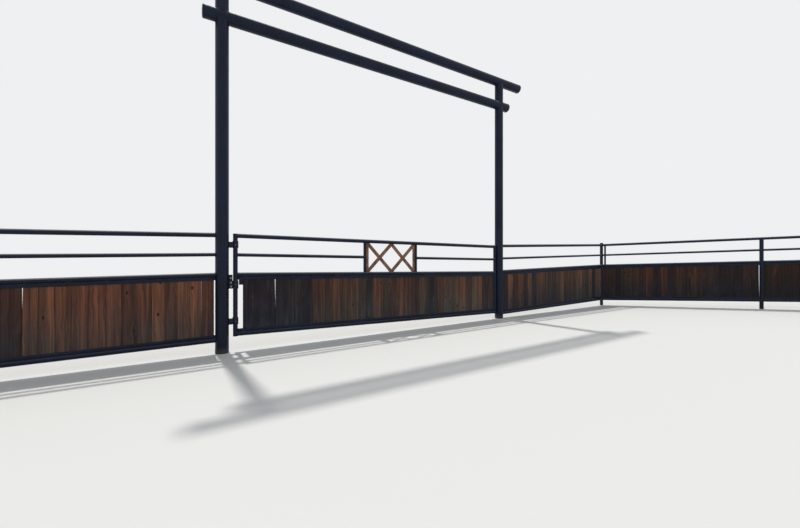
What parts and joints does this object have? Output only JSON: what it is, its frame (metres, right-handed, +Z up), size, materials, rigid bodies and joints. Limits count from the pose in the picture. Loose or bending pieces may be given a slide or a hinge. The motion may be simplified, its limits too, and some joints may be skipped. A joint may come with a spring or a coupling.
{
  "type": "ranch entrance gate",
  "caption": "Driveway entrance with a tall pipe frame under overhead beams, a wide swing gate of pipe and upright boards, and matching fence wings that flare towards the road.",
  "frame": {"origin": "centre of the left gate post's foot, where it meets the ground", "axes": "+Z up, +X along the closed gate towards the right post, +Y away from the road, the way the gate opens"},
  "size_m": [20.4212, 5.2319, 5.2658],
  "materials": {
    "black_pipe": "satin",
    "cedar_boards": "matte",
    "rusted_steel": "matte"
  },
  "bodies": {
    "entrance": {"left_gate_post": "black_pipe", "right_gate_post": "black_pipe", "lower_beam": "black_pipe", "lower_beam_stubs": "black_pipe", "upper_beam": "black_pipe", "beam_caps": "black_pipe", "lower_hinge": "black_pipe", "middle_hinge": "black_pipe", "upper_hinge": "black_pipe", "left_bay_1_rails": "black_pipe", "left_bay_1_boards": "cedar_boards", "left_bay_1_channels": "black_pipe", "left_bay_2_rails": "black_pipe", "left_bay_2_boards": "cedar_boards", "left_bay_2_channels": "black_pipe", "left_bay_3_rails": "black_pipe", "left_bay_3_boards": "cedar_boards", "left_bay_3_channels": "black_pipe", "left_corner_post": "black_pipe", "left_line_post": "black_pipe", "left_end_post": "black_pipe", "right_bay_1_rails": "black_pipe", "right_bay_1_boards": "cedar_boards", "right_bay_1_channels": "black_pipe", "right_bay_2_rails": "black_pipe", "right_bay_2_boards": "cedar_boards", "right_bay_2_channels": "black_pipe", "right_bay_3_rails": "black_pipe", "right_bay_3_boards": "cedar_boards", "right_bay_3_channels": "black_pipe", "right_corner_post": "black_pipe", "right_line_post": "black_pipe", "right_end_post": "black_pipe", "corner_stiles": "black_pipe"},
    "gate": {"gate_hinge_upright": "black_pipe", "gate_latch_upright": "black_pipe", "gate_hinge_rings": "black_pipe", "gate_top_rail": "black_pipe", "gate_second_rail": "black_pipe", "gate_third_rail": "black_pipe", "gate_bottom_rail": "black_pipe", "gate_panel_uprights": "black_pipe", "gate_ornament": "rusted_steel", "gate_boards": "cedar_boards", "gate_channels": "black_pipe"}
  },
  "joints": [
    {"name": "gate_hinge", "type": "hinge", "parent": "entrance", "child": "gate", "pos_m": [0.164, 0, 0.2], "axis": [0, 0, 1], "range_deg": [0, 95]}
  ]
}
